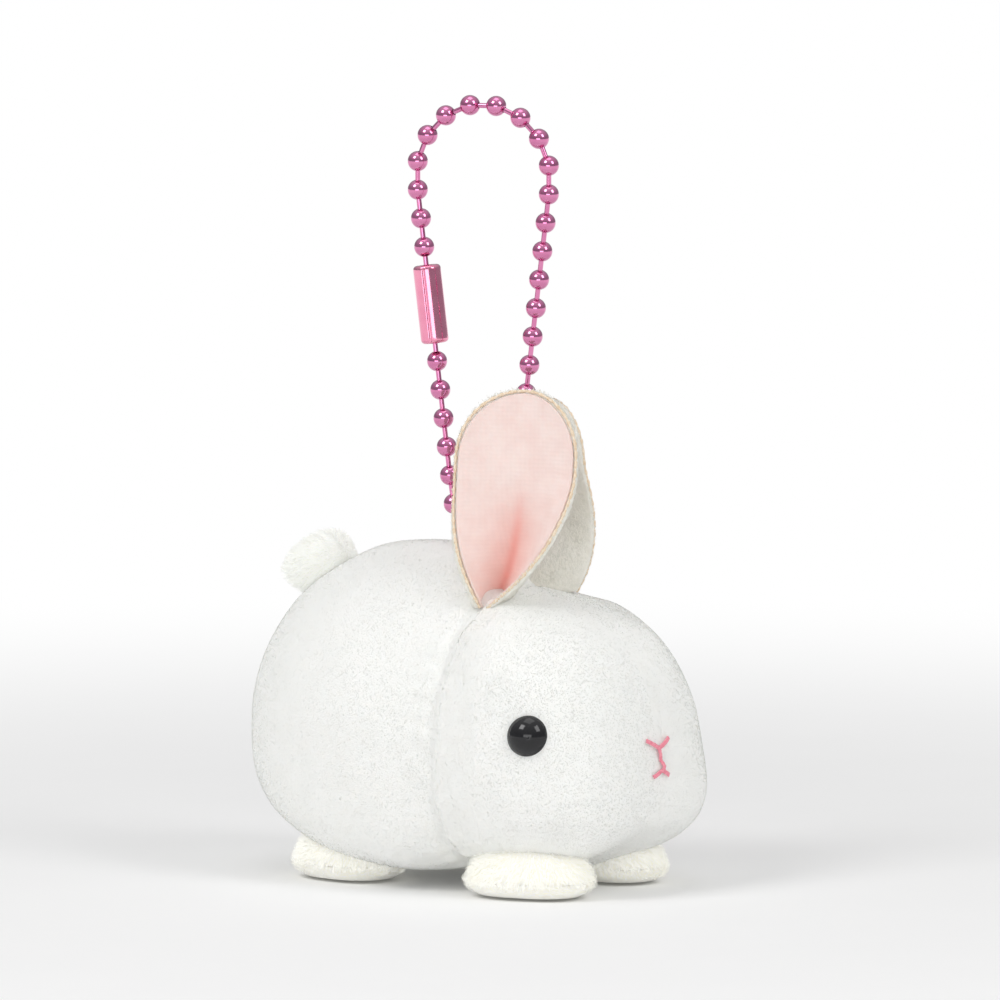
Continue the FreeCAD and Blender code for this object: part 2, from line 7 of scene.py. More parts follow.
import math

import bpy
import numpy as np
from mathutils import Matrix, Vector


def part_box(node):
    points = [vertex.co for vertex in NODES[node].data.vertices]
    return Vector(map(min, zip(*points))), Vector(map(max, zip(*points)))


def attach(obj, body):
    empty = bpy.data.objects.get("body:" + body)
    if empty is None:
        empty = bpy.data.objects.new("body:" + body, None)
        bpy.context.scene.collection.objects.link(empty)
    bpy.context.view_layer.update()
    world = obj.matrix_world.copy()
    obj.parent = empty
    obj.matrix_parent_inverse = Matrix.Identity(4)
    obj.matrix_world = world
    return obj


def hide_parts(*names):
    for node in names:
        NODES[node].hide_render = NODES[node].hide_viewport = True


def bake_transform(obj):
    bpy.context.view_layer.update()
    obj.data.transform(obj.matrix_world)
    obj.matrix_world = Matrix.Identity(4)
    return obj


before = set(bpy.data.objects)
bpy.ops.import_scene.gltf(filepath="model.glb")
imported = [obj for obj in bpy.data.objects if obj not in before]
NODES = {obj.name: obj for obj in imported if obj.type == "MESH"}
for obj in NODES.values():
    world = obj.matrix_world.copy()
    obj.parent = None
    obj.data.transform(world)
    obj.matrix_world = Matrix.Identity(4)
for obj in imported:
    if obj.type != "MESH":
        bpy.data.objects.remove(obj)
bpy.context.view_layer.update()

MM = 0.001
RANDOM = np.random.default_rng(12)


def corners(node):
    """Lowest and highest corner of a CAD node, in millimetres."""
    low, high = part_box(node)
    return np.array(low) / MM, np.array(high) / MM


SEAM_Y = corners("head_cover")[1][1]
EYES = [(low + high) / 2 for low, high in (corners("eye_right"), corners("eye_left"))]

# Shape of the two stuffed halves: where each is widest, its half sizes, how fast it
# closes towards its end, and how square (under 1) or narrow (over 1) its section is.
HEAD = dict(middle=SEAM_Y, reach=-20.3, width=18.0, above=19.1, below=15.5, waist=16.4,
            closing=0.72, top_square=0.72, low_square=0.86, rise=-1.0)
TORSO = dict(middle=4.1, reach=25.3, width=19.5, above=22.1, below=16.6, waist=17.8,
             closing=1.02, top_square=1.18, low_square=0.50, rise=1.4)
SEAM_BLEND = 7.0         # how far each side of the seam the two halves run together
SEAM_DEPTH = 0.75
SEAM_WIDTH = 0.75
CORE_Z = 18.0            # height of the body's inner line, which swellings point away from
CORE_Y = (-16.0, 14.0)   # where that line ends, front and back

# Fuller (or, if negative, flatter) places: where, how far they spread, how high.
EYE_SOCKET = (3.0, -0.4)
SIDE_SWELLINGS = [((14.5, -15.5, 11.5), 6.0, 0.9),     # cheek
                  ((9.0, -24.5, 11.0), 6.5, 2.4),      # corner of the muzzle
                  ((12.5, -23.5, 20.0), 5.0, 0.6)]     # brow
MIDDLE_SWELLINGS = [((0, -26.5, 14.0), 5.0, 0.5),      # under the nose
                    ((0, -24.0, 1.0), 6.5, -1.6)]      # chin

FINER = 3                # the shown grid of a half is this many times the simulated one
SWELLING_CAP = 0.5       # most that the cloth simulation may move a point
CLOTH_FRAMES = 20
EYE_CLEARING = 2.75      # no pile roots this near the middle of an eye
ROOT_DEPTH = 0.06        # how far a strand starts inside the cloth


# ---------------------------------------------------------------- meshes

def smoothstep(value):
    value = np.clip(value, 0, 1)
    return value * value * (3 - 2 * value)


def unit(vectors):
    return vectors / np.maximum(np.linalg.norm(vectors, axis=-1, keepdims=True), 1e-9)


def signed_power(value, exponent):
    return np.sign(value) * np.abs(value) ** exponent


def mesh_piece(name, points, faces, material):
    """Smooth-shaded mesh object from points in millimetres."""
    mesh = bpy.data.meshes.new(name)
    mesh.from_pydata((np.asarray(points) * MM).tolist(), [], faces)
    mesh.polygons.foreach_set("use_smooth", [True] * len(mesh.polygons))
    mesh.materials.append(material)
    mesh.update()
    piece = bpy.data.objects.new(name, mesh)
    bpy.context.scene.collection.objects.link(piece)
    return piece


def grid_faces(rows, columns, closed=True, first=0):
    """Quads between neighbouring rows; a closed grid joins its last column to its first."""
    faces = []
    last = columns if closed else columns - 1
    for row in range(rows - 1):
        for column in range(last):
            right = (column + 1) % columns
            low, high = first + row * columns, first + (row + 1) * columns
            faces.append((low + column, low + right, high + right, high + column))
    return faces


def tube(path, radius, sides):
    """Points and faces of a round tube along a path; radius may differ at each point."""
    path = np.asarray(path, float)
    count = len(path)
    radius = np.broadcast_to(radius, count)
    along = np.roll(path, -1, axis=0) - np.roll(path, 1, axis=0)
    along[0], along[-1] = path[1] - path[0], path[-1] - path[-2]
    along = unit(along)
    across = unit(np.cross(along[0], [0.31, 0.52, 0.79]))
    angles = np.linspace(0, 2 * math.pi, sides, endpoint=False)[:, None]
    rings = []
    for index in range(count):
        across = unit(across - along[index] * (across @ along[index]))
        third = np.cross(along[index], across)
        circle = np.cos(angles) * across + np.sin(angles) * third
        rings.append(path[index] + radius[index] * circle)
    faces = grid_faces(count, sides)
    faces.append(tuple(reversed(range(sides))))
    faces.append(tuple(range((count - 1) * sides, count * sides)))
    return np.concatenate(rings), faces


def even_path(path, spacing):
    """The same line with points at even steps, and how far along it each one is."""
    steps = np.concatenate([[0], np.cumsum(np.linalg.norm(np.diff(path, axis=0), axis=1))])
    even = np.arange(0, steps[-1], spacing)
    return np.stack([np.interp(even, steps, path[:, i]) for i in range(3)], axis=1), even


def join_parts(parts):
    """One list of points and faces from several."""
    points, faces = [], []
    total = 0
    for part_points, part_faces in parts:
        points.append(part_points)
        faces += [tuple(total + index for index in face) for face in part_faces]
        total += len(part_points)
    return np.concatenate(points), faces


def triangles_of(faces):
    """Corner index triples of the faces, as an array."""
    triangles = []
    for face in faces:
        for index in range(1, len(face) - 1):
            triangles.append((face[0], face[index], face[index + 1]))
    return np.array(triangles)


def vertex_normals(points, triangles):
    first, second, third = (points[triangles[:, i]] for i in range(3))
    flat = np.cross(second - first, third - first)
    normals = np.zeros_like(points)
    for corner in range(3):
        np.add.at(normals, triangles[:, corner], flat)
    return unit(normals)


def swirl(points, size, phase=0.0):
    """Smooth variation between -1 and 1 over the given size in millimetres."""
    x, y, z = (points / size).T
    wave = np.sin(x + 1.7 * np.sin(0.9 * y + phase)) + np.sin(1.1 * y - 0.8 * z + 2.1 + phase)
    return (wave + np.sin(1.3 * z + 1.2 * np.sin(0.8 * x) + 0.7 * phase)) / 3


def fur(name, points, faces, material, per_mm2, length, width, lift, comb, keep=None):
    """Real strands of pile: thin curved blades, combed along the surface.

    per_mm2 strands stand on each square millimetre. lift is the angle in degrees at
    which they leave the cloth; comb gives a direction at each root, and keep says which
    roots stay. Each strand bends once, half way up.
    """
    triangles = triangles_of(faces)
    normals = vertex_normals(points, triangles)
    first, second, third = (points[triangles[:, i]] for i in range(3))
    area = np.linalg.norm(np.cross(second - first, third - first), axis=1) / 2
    count = int(area.sum() * per_mm2)
    chosen = RANDOM.choice(len(triangles), count, p=area / area.sum())
    shares = RANDOM.dirichlet((1, 1, 1), count)
    corner_points = points[triangles[chosen]]
    roots = (corner_points * shares[:, :, None]).sum(1)
    out = unit((normals[triangles[chosen]] * shares[:, :, None]).sum(1))
    if keep is not None:
        kept = keep(roots)
        roots, out = roots[kept], out[kept]
    count = len(roots)
    way = comb(roots, out)
    way = unit(way - out * (way * out).sum(1, keepdims=True))
    side = np.cross(out, way)
    # Neighbouring strands lean together, and each strays a little by itself.
    turn = 0.55 * swirl(roots, 5.0) + 0.28 * RANDOM.normal(size=count)
    way = way * np.cos(turn)[:, None] + side * np.sin(turn)[:, None]
    side = np.cross(out, way)
    long = length * (0.75 + 0.5 * RANDOM.random(count)) * (1 + 0.18 * swirl(roots, 2.3, 1.0))
    rising = np.radians(lift * (0.6 + 0.8 * RANDOM.random(count)))
    start = out * np.sin(rising)[:, None] + way * np.cos(rising)[:, None]
    end = out * np.sin(0.35 * rising)[:, None] + way * np.cos(0.35 * rising)[:, None]
    half = (width / 2) * (0.7 + 0.6 * RANDOM.random(count))[:, None]
    middle = roots + start * (0.5 * long)[:, None]
    tips = middle + end * (0.5 * long)[:, None]
    roots = roots - out * ROOT_DEPTH
    blades = np.stack([roots + side * half, roots - side * half, middle - side * half * 0.8,
                       middle + side * half * 0.8, tips], axis=1)
    base = np.arange(count)[:, None] * 5
    quads = (base + [0, 1, 2, 3]).tolist()
    ends = (base + [3, 2, 4]).tolist()
    return mesh_piece(name, blades.reshape(-1, 3), quads + ends, material)


# ---------------------------------------------------------------- materials

class Nodes:
    """Short way to write a node material: add() makes a node from its type and inputs."""

    def __init__(self, name, target=None):
        self.owner = target or bpy.data.materials.new(name)
        self.owner.use_nodes = True
        self.tree = self.owner.node_tree
        self.tree.nodes.clear()

    def add(self, kind, inputs=None, **settings):
        made = self.tree.nodes.new("ShaderNode" + kind)
        for key, value in settings.items():
            setattr(made, key, value)
        for key, value in (inputs or {}).items():
            if isinstance(value, bpy.types.NodeSocket):
                self.tree.links.new(value, made.inputs[key])
            else:
                made.inputs[key].default_value = value
        return made

    def ramp(self, factor, low, high, start=0.0, end=1.0):
        made = self.add("ValToRGB", {"Fac": factor})
        made.color_ramp.elements[0].color = (*low, 1)
        made.color_ramp.elements[1].color = (*high, 1)
        made.color_ramp.elements[0].position = start
        made.color_ramp.elements[1].position = end
        return made.outputs["Color"]

    def place(self):
        return self.add("TexCoord").outputs["Object"]

    def noise(self, scale, detail=3.0, roughness=0.55):
        return self.add("TexNoise", {"Vector": self.place(), "Scale": scale, "Detail": detail,
                                     "Roughness": roughness}).outputs["Fac"]

    def bump(self, height, strength, distance):
        return self.add("Bump", {"Height": height, "Strength": strength,
                                 "Distance": distance}).outputs["Normal"]

    def surface(self, **inputs):
        named = {key.replace("_", " "): value for key, value in inputs.items()}
        shader = self.add("BsdfPrincipled", named)
        self.add("OutputMaterial", {"Surface": shader.outputs[0]})
        return self.owner


def pile_material(name, low, high, strand=True, glow=0.04):
    """White pile cloth, a little lighter on some strands.

    glow is painted light, a weak light of its own in place of the light that fibres pass to each
    other; it lifts the shade between strands.
    """
    make = Nodes(name)
    patches = make.noise(170, 2.0)
    colour = make.ramp(patches, low, high, 0.3, 0.7)
    if strand:
        lot = make.add("NewGeometry").outputs["Random Per Island"]
        shade = make.ramp(lot, (0.955, 0.955, 0.95), (1, 1, 1))
        mix = make.add("MixRGB", {"Fac": 1.0, "Color1": colour, "Color2": shade},
                       blend_type="MULTIPLY")
        colour = mix.outputs["Color"]
    grain = make.noise(5200, 2.0)
    return make.surface(
        Base_Color=colour, Roughness=0.92, Sheen_Weight=0.3, Sheen_Roughness=0.5,
        Subsurface_Weight=0.35, Subsurface_Radius=(1.0, 0.92, 0.85), Subsurface_Scale=0.0009,
        Specular_IOR_Level=0.2, Emission_Color=colour, Emission_Strength=glow,
        Normal=make.bump(grain, 0.35, 0.00012))


def lining_material():
    """Smooth knitted lining, with painted shade: deeper pink towards the fold."""
    make = Nodes("ear_lining_knit")
    place = make.place()
    rows = [make.add("TexWave", {"Vector": place, "Scale": 620.0, "Distortion": 2.5,
                                 "Detail": 2.0}, bands_direction=way).outputs["Fac"]
            for way in ("Y", "Z")]
    knit = make.add("Math", {0: rows[0], 1: rows[1]}, operation="ADD").outputs[0]
    # Painted shade: the fold attribute says how much deeper pink the lining is painted towards
    # the fold, where shade falls.
    fold = make.add("Attribute", attribute_name="fold").outputs["Fac"]
    cloth = make.ramp(make.noise(420, 3.0), (0.90, 0.70, 0.655), (0.93, 0.755, 0.71), 0.35, 0.65)
    deep = make.add("MixRGB", {"Fac": fold, "Color1": cloth, "Color2": (0.90, 0.42, 0.37, 1)})
    return make.surface(
        Base_Color=deep.outputs["Color"], Roughness=0.78, Sheen_Weight=0.3, Sheen_Roughness=0.4,
        Subsurface_Weight=0.2, Subsurface_Radius=(1.0, 0.6, 0.5), Subsurface_Scale=0.0006,
        Specular_IOR_Level=0.25, Normal=make.bump(knit, 0.22, 0.00006))


def edge_material():
    """Cut edge of the ear cloth, a little browned."""
    make = Nodes("ear_raw_edge")
    colour = make.ramp(make.noise(2600, 3.0), (0.78, 0.60, 0.40), (0.95, 0.83, 0.68), 0.3, 0.7)
    return make.surface(Base_Color=colour, Roughness=0.85, Specular_IOR_Level=0.2,
                        Normal=make.bump(make.noise(7000), 0.5, 0.0001))


def thread_material(name, low, high):
    """Twisted embroidery or sewing thread with a slight lustre."""
    make = Nodes(name)
    colour = make.ramp(make.noise(3000, 3.0), low, high, 0.3, 0.7)
    return make.surface(
        Base_Color=colour, Roughness=0.5, Sheen_Weight=0.3, Sheen_Roughness=0.35,
        Specular_IOR_Level=0.4, Normal=make.bump(make.noise(9000, 4.0), 0.4, 0.00008))


def eye_material():
    """Black moulded eye: hard gloss with the faintest unevenness."""
    make = Nodes("eye_gloss")
    rough = make.add("MapRange", {"Value": make.noise(900, 3.0), "To Min": 0.07,
                                  "To Max": 0.15}).outputs["Result"]
    colour = make.ramp(make.noise(300), (0.006, 0.006, 0.007), (0.014, 0.014, 0.016))
    return make.surface(Base_Color=colour, Roughness=rough, Specular_IOR_Level=0.35,
                        Coat_Weight=0.25, Coat_Roughness=0.05,
                        Normal=make.bump(make.noise(700), 0.03, 0.00005))


def metal_material(name, low, high, smooth, rough, scratches):
    """Lacquered pink metal with fine handling marks."""
    make = Nodes(name)
    colour = make.ramp(make.noise(500, 4.0), low, high, 0.3, 0.7)
    marks = make.noise(scratches, 5.0, 0.7)
    gloss = make.add("MapRange", {"Value": marks, "To Min": smooth,
                                  "To Max": rough}).outputs["Result"]
    return make.surface(Base_Color=colour, Metallic=1.0, Roughness=gloss, Coat_Weight=0.5,
                        Coat_Roughness=0.06, Normal=make.bump(marks, 0.03, 0.00003))


def plastic_material():
    make = Nodes("washer_plastic")
    colour = make.ramp(make.noise(600), (0.72, 0.72, 0.70), (0.80, 0.80, 0.78))
    return make.surface(Base_Color=colour, Roughness=0.4,
                        Normal=make.bump(make.noise(3000), 0.1, 0.00005))


PLUSH = pile_material("white_pile", (0.905, 0.91, 0.885), (0.93, 0.935, 0.91))
PLUSH_SKIN = pile_material("white_pile_ground", (0.90, 0.905, 0.88), (0.925, 0.93, 0.905), False)
# Painted light: the feet's pile is lighter than the body's and glows more, to lift the shade that
# falls on the feet; it is also a warmer white.
FOOT_PLUSH_PAINTED_LIGHT = pile_material("warm_pile_painted_light", (0.965, 0.955, 0.90), (0.985, 0.98, 0.94), glow=0.20)
# Painted light: the tail's pile is lighter than the body's and glows, to lift the shade its own
# strands cast.
TAIL_PLUSH_PAINTED_LIGHT = pile_material("tail_pile_painted_light", (0.93, 0.935, 0.90), (0.955, 0.96, 0.93), glow=0.15)
# Painted light: the feet's ground is lighter than the body's, to lift the shade on the feet; it
# is also a warmer white.
FOOT_SKIN_PAINTED_LIGHT = pile_material("warm_ground_painted_light", (0.95, 0.94, 0.87), (0.97, 0.96, 0.90), False)
EAR_PILE = pile_material("ear_pile", (0.89, 0.87, 0.80), (0.94, 0.925, 0.87))
EAR_SKIN = pile_material("ear_pile_ground", (0.87, 0.845, 0.77), (0.92, 0.90, 0.84), False)
LINING = lining_material()
RAW_EDGE = edge_material()
PINK_THREAD = thread_material("pink_thread", (0.86, 0.22, 0.30), (0.96, 0.38, 0.46))
WHITE_THREAD = thread_material("white_thread", (0.78, 0.77, 0.74), (0.88, 0.87, 0.84))
EYE = eye_material()
BEAD_METAL = metal_material("bead_metal", (0.66, 0.20, 0.40), (0.74, 0.26, 0.47),
                            0.06, 0.14, 2400)
SLEEVE_METAL = metal_material("sleeve_metal", (0.84, 0.28, 0.43), (0.92, 0.35, 0.50),
                              0.08, 0.18, 1800)
WASHER = plastic_material()


# ---------------------------------------------------------------- body

def part_section(part, y):
    """Half width, heights above and below, waist height and squareness at each y."""
    along = np.clip((y - part["middle"]) / part["reach"], -0.995, 1)
    open_share = np.sqrt(np.maximum(1 - along ** 2, 0)) ** part["closing"]
    return np.stack([part["width"] * open_share, part["above"] * open_share,
                     part["below"] * open_share,
                     part["waist"] + part["rise"] * along,
                     np.full_like(y, part["top_square"]),
                     np.full_like(y, part["low_square"])])


def body_section(y):
    """Section of the whole body: the two halves run into each other at the seam."""
    share = smoothstep(0.5 + (y - SEAM_Y) / (2 * SEAM_BLEND))
    return part_section(HEAD, y) * (1 - share) + part_section(TORSO, y) * share


def push(points, centre, radius, height):
    """Moves points near centre outwards from the body's core, or inwards."""
    centre = np.array(centre, float)
    near = np.exp(-((points - centre) ** 2).sum(-1) / radius ** 2)
    core = np.stack([np.zeros(len(points)), np.clip(points[:, 1], *CORE_Y),
                     np.full(len(points), CORE_Z)], axis=1)
    return points + unit(points - core) * (near * height)[:, None]


def dress(points):
    """Seam valley, cheeks, eye sockets and the unevenness of the stuffing."""
    distance = points[:, 1] - SEAM_Y
    centre = np.stack([np.zeros(len(points)), points[:, 1], np.full(len(points), CORE_Z)], axis=1)
    out = unit(points - centre)
    around = np.arctan2(out[:, 0], out[:, 2])
    valley = -SEAM_DEPTH * np.exp(-(distance / SEAM_WIDTH) ** 2)
    near = np.exp(-(distance / 2.6) ** 2) * (1 - np.exp(-(distance / 0.7) ** 2))
    pucker = 0.16 * near * np.sin(31 * around + 3 * np.sin(5 * around) + np.sign(distance) * 1.3)
    lumps = 0.22 * swirl(points, 4.6) + 0.09 * swirl(points, 1.9, 2.0)
    away = 1 - np.exp(-(distance / 1.5) ** 2)
    points = points + out * (valley + pucker + lumps * away)[:, None]
    for eye in EYES:
        points = push(points, eye, *EYE_SOCKET)
        for place, radius, height in SIDE_SWELLINGS:
            points = push(points, np.array(place) * [np.sign(eye[0]), 1, 1], radius, height)
    for place, radius, height in MIDDLE_SWELLINGS:
        points = push(points, place, radius, height)
    return points


def half_grid(part, rows, columns):
    """Points of one half, from the seam to a small opening at its end, and its pole."""
    start = math.asin((SEAM_Y - part["middle"]) / part["reach"])
    angles = np.linspace(start, math.radians(88.6), rows)
    y = part["middle"] + part["reach"] * np.sin(angles)
    width, above, below, waist, top_square, low_square = body_section(y)
    turn = np.linspace(0, 2 * math.pi, columns, endpoint=False)[None, :]
    cos, sin = np.cos(turn), np.sin(turn)
    square = np.where(sin > 0, top_square[:, None], low_square[:, None])
    height = np.where(sin > 0, above[:, None], below[:, None])
    x = width[:, None] * signed_power(cos, square)
    z = waist[:, None] + height * signed_power(sin, square)
    points = np.stack([x, np.broadcast_to(y[:, None], x.shape), z], axis=-1)
    pole = np.array([0, part["middle"] + part["reach"], waist[-1]])
    return points.reshape(-1, 3), pole


def half_faces(rows, columns, outward):
    """Faces of a half grid, closed to its pole; a half that runs towards -Y is turned over."""
    faces = grid_faces(rows, columns)
    last = (rows - 1) * columns
    faces += [(last + i, last + (i + 1) % columns, rows * columns) for i in range(columns)]
    return faces if outward else [tuple(reversed(face)) for face in faces]


def inflate(points, faces, pinned, cap):
    """Cloth under pressure from inside: how far each point moves, at most cap.

    It runs at ten times the size, where the solver behaves as it does for a cushion.
    """
    bigger = 10
    skin = mesh_piece("inflating", points * bigger, faces, PLUSH_SKIN)
    group = skin.vertex_groups.new(name="sewn")
    group.add([int(index) for index in pinned], 1.0, "REPLACE")
    cloth = skin.modifiers.new("Cloth", "CLOTH")
    settings = cloth.settings
    settings.quality = 5
    settings.mass = 0.3
    settings.tension_stiffness = settings.compression_stiffness = 15
    settings.bending_stiffness = 0.6
    settings.use_pressure = True
    settings.uniform_pressure_force = 4.0
    settings.vertex_group_mass = "sewn"
    settings.effector_weights.gravity = 0.0
    scene = bpy.context.scene
    for number in range(1, CLOTH_FRAMES + 1):
        scene.frame_set(number)
    swollen = skin.evaluated_get(bpy.context.evaluated_depsgraph_get()).to_mesh()
    moved = np.zeros(len(points) * 3)
    swollen.vertices.foreach_get("co", moved)
    moved = moved.reshape(-1, 3) / MM / bigger - points
    bpy.data.objects.remove(skin)
    scene.frame_set(1)
    far = np.linalg.norm(moved, axis=1, keepdims=True)
    return moved * np.minimum(1, cap / np.maximum(far, 1e-9))


def finer(values, rows, columns, times):
    """Spreads values on a coarse closed grid over a grid that is times as fine."""
    grid = values.reshape(rows, columns, 3)
    row_at = np.linspace(0, rows - 1, (rows - 1) * times + 1)
    column_at = np.arange(columns * times) / times
    low = np.minimum(row_at.astype(int), rows - 2)
    share = smoothstep(row_at - low)[:, None, None]
    between = grid[low] * (1 - share) + grid[low + 1] * share
    left = column_at.astype(int)
    share = smoothstep(column_at - left)[None, :, None]
    spread = between[:, left % columns] * (1 - share) + between[:, (left + 1) % columns] * share
    return spread.reshape(-1, 3)


def make_half(name, part, rows, columns, comb, density, replaced):
    """One stuffed half of the body with its pile."""
    outward = part["reach"] > 0
    fine_rows, fine_columns = (rows - 1) * FINER + 1, columns * FINER
    points, pole = half_grid(part, fine_rows, fine_columns)
    coarse, coarse_pole = half_grid(part, rows, columns)
    closed = np.vstack([coarse, coarse_pole])
    faces = half_faces(rows, columns, outward)
    moved = inflate(closed, faces, range(columns), SWELLING_CAP)
    outward_way = vertex_normals(closed, triangles_of(faces))
    swelling = np.maximum((moved * outward_way).sum(1, keepdims=True), 0) * outward_way
    points = points + finer(swelling[:-1], rows, columns, FINER)
    points = dress(np.vstack([points, pole]))
    faces = half_faces(fine_rows, fine_columns, outward)
    skin = mesh_piece(f"{name}_plush", points, faces, PLUSH_SKIN)
    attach(skin, "plush")
    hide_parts(*replaced)

    def roots_kept(roots):
        clear = np.ones(len(roots), bool)
        for eye in EYES:
            clear &= np.linalg.norm(roots - eye, axis=1) > EYE_CLEARING
        return clear

    pile = fur(f"{name}_pile", points, faces, PLUSH, density, length=0.78, width=0.10, lift=28,
               comb=comb, keep=roots_kept)
    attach(pile, "plush")
    return points


def head_comb(roots, out):
    """Pile of the head lies back from the nose and slightly down on the cheeks."""
    fall = -0.25 - 0.35 * smoothstep((20 - roots[:, 2]) / 14)
    return np.stack([0.25 * np.sign(roots[:, 0]), np.ones(len(roots)), fall], axis=1)


def torso_comb(roots, out):
    """Pile of the back lies towards the tail and down the sides."""
    fall = -0.35 - 0.5 * smoothstep((30 - roots[:, 2]) / 20)
    return np.stack([0.1 * np.sign(roots[:, 0]), np.ones(len(roots)), fall], axis=1)


head_points = make_half("head", HEAD, 42, 84, head_comb, 20.0,
                        ("head_cover", "head_stuffing"))
torso_points = make_half("torso", TORSO, 50, 92, torso_comb, 16.0,
                         ("torso_cover", "torso_stuffing"))


def on_head(x, z):
    """Point of the face in front at this x and z."""
    front = head_points[head_points[:, 1] < SEAM_Y - 8]
    gaps = (front[:, 0] - x) ** 2 + (front[:, 2] - z) ** 2
    nearest = np.argsort(gaps)[:4]
    weights = 1 / (gaps[nearest] + 1e-4)
    return np.array([x, (front[nearest, 1] * weights).sum() / weights.sum(), z])


# ---------------------------------------------------------------- nose

def make_nose():
    """Satin-stitched nose and mouth: each stroke is three twisted threads side by side."""
    low, high = corners("nose_embroidery")
    border = 0.3
    top, bottom = high[2] - border, low[2] + border
    wide = high[0] - border
    mouth = wide * 0.7
    spacing, radius, count = 0.14, 0.115, 26
    join, foot = top - 1.0, bottom + 0.7
    strokes = [((-wide, top), (0, join)), ((wide, top), (0, join)), ((0, join), (0, foot)),
               ((0, foot), (-mouth, bottom)), ((0, foot), (mouth, bottom))]
    parts = []
    for start, end in strokes:
        start, end = np.array(start), np.array(end)
        way = (end - start) / np.linalg.norm(end - start)
        across = np.array([-way[1], way[0]])
        for thread in (-1, 0, 1):
            path = []
            for share in np.linspace(-0.04, 1.04, count):
                flat = start + (end - start) * share + across * spacing * thread
                point = on_head(*flat)
                bulge = math.sin(math.pi * min(max(share, 0), 1)) ** 0.5
                point[1] -= 0.22 + 0.22 * bulge * (1.0 if thread == 0 else 0.75)
                path.append(point)
            twist = 1 + 0.12 * np.sin(np.arange(count) * 1.9 + thread)
            parts.append(tube(path, radius * twist, 8))
    points, faces = join_parts(parts)
    nose = mesh_piece("nose_stitches", points, faces, PINK_THREAD)
    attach(nose, "plush")
    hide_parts("nose_embroidery")


make_nose()


# ---------------------------------------------------------------- ears

EAR_TIP = np.array([5.7, SEAM_Y + 0.2, 33.4])    # where the folded base closes, on +X
EAR_TURN = math.radians(65)
EAR_TALL = {"right": 25.4, "left": 23.0}
EAR_SWEEP = {"right": 0.0, "left": math.radians(12)}
EAR_CLOSED = {"right": 0.98, "left": 0.3}    # how far the folded base closes
EAR_ROWS, EAR_COLUMNS = 90, 81
REAR_HALF_WIDTH, FRONT_HALF_WIDTH = 7.9, 6.6     # flat cloth on each side of its middle line
REAR_EASE, FRONT_EASE = 2.7, 1.6         # how late each side folds on the way down
OPEN_CURL = 0.985        # opening of the unfolded part, which still curls a little
FOLD_END = 0.62          # share of the height below which the ear is folded
TOP_START = 0.68         # share of the height above which its top is rounded
MID_SHIFT = {"right": 4.9, "left": 4.0}     # how far the middle line leans forward
SHIFT_HEIGHT = 0.3       # share of the height in which it does most of that
EAR_LEAN = math.radians(1.5)
EAR_WAVE = 0.16          # unevenness of the cloth
# Front and back of each cloth behind the lining's face, and how far its border is drawn in.
LINING_LAYER = (0.0, 0.35, 0.3)
BACK_LAYER = (0.4, 1.0, 0.0)
RAW_EDGE_LINE = (0.42, 0.05)


def curl_for(opening, sharp):
    """Angle a strip curls by in all, so that its edge ends this share of its length away."""
    shares = (np.arange(40) + 0.5) / 40
    low, high = 0.0, math.radians(230)
    for _ in range(30):
        middle = (low + high) / 2
        if np.cos(middle * shares ** sharp).mean() > opening:
            low = middle
        else:
            high = middle
    return low


